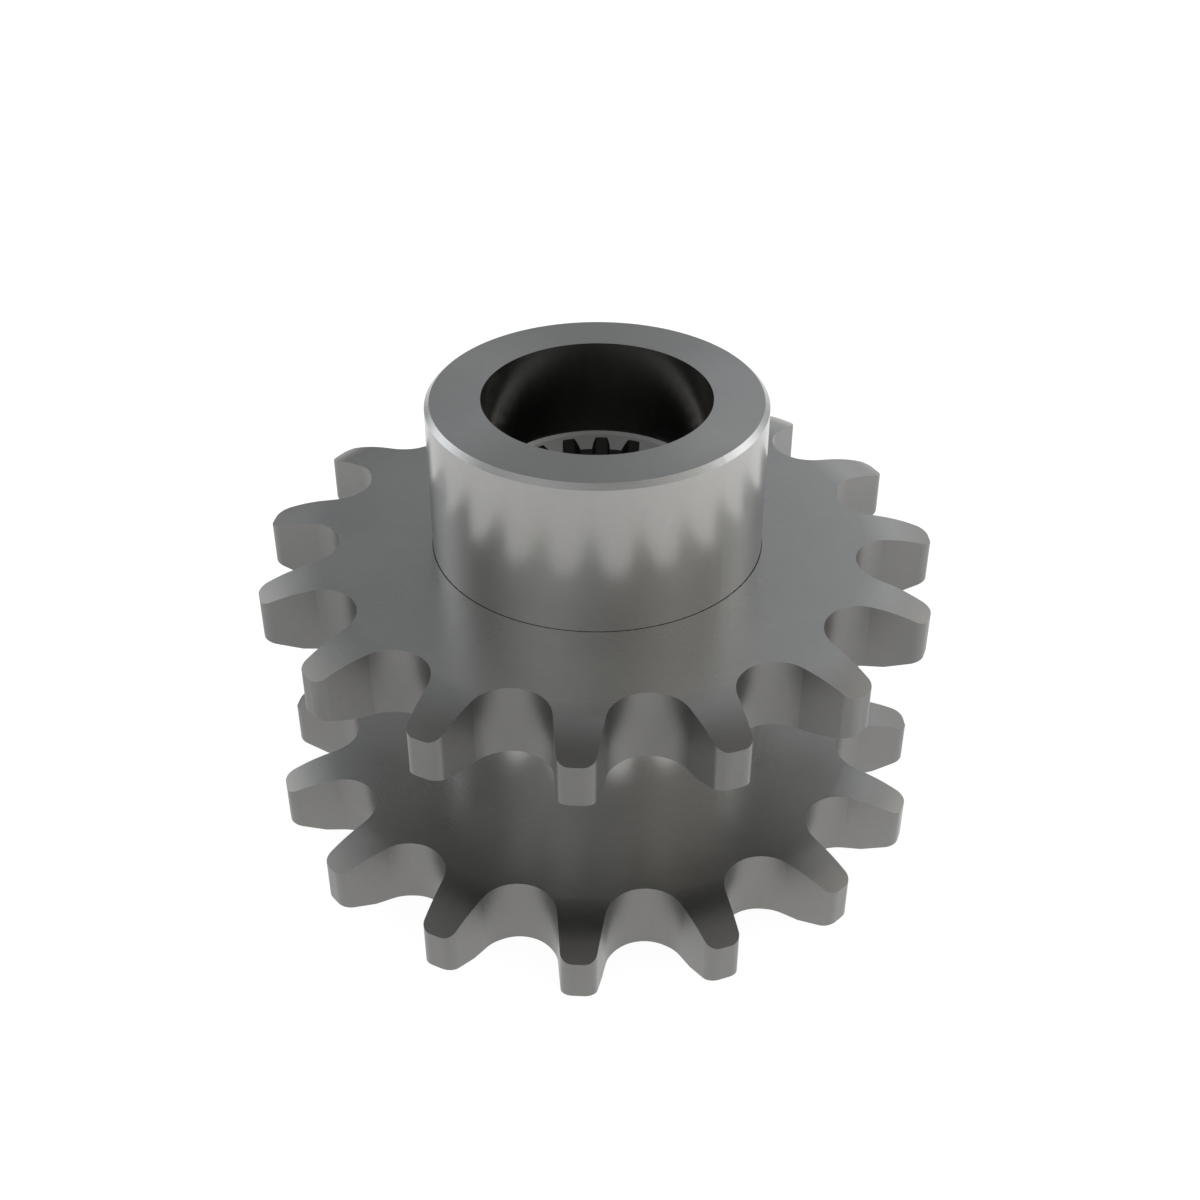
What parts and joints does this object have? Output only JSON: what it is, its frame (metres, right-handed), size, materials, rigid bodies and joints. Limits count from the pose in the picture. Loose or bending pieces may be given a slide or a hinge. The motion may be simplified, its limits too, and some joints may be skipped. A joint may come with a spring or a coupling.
{
  "type": "chain sprocket",
  "caption": "Double roller chain sprocket: two equal toothed rings on a splined steel hub, spaced by its collar, with a long counterbored end.",
  "frame": {"origin": "on the sprocket's axis, in the bottom face", "axes": "+Z along the axis towards the hub's counterbored end; +X through the middle of a tooth of both rings and of a spline space"},
  "size_m": [0.138, 0.1386, 0.0969],
  "materials": {
    "turned_steel": "fine turned, smooth",
    "ring_steel": "machined, smooth"
  },
  "bodies": {
    "root": {"splined_hub": "turned_steel", "upper_sprocket_ring": "ring_steel", "lower_sprocket_ring": "ring_steel"}
  },
  "joints": []
}
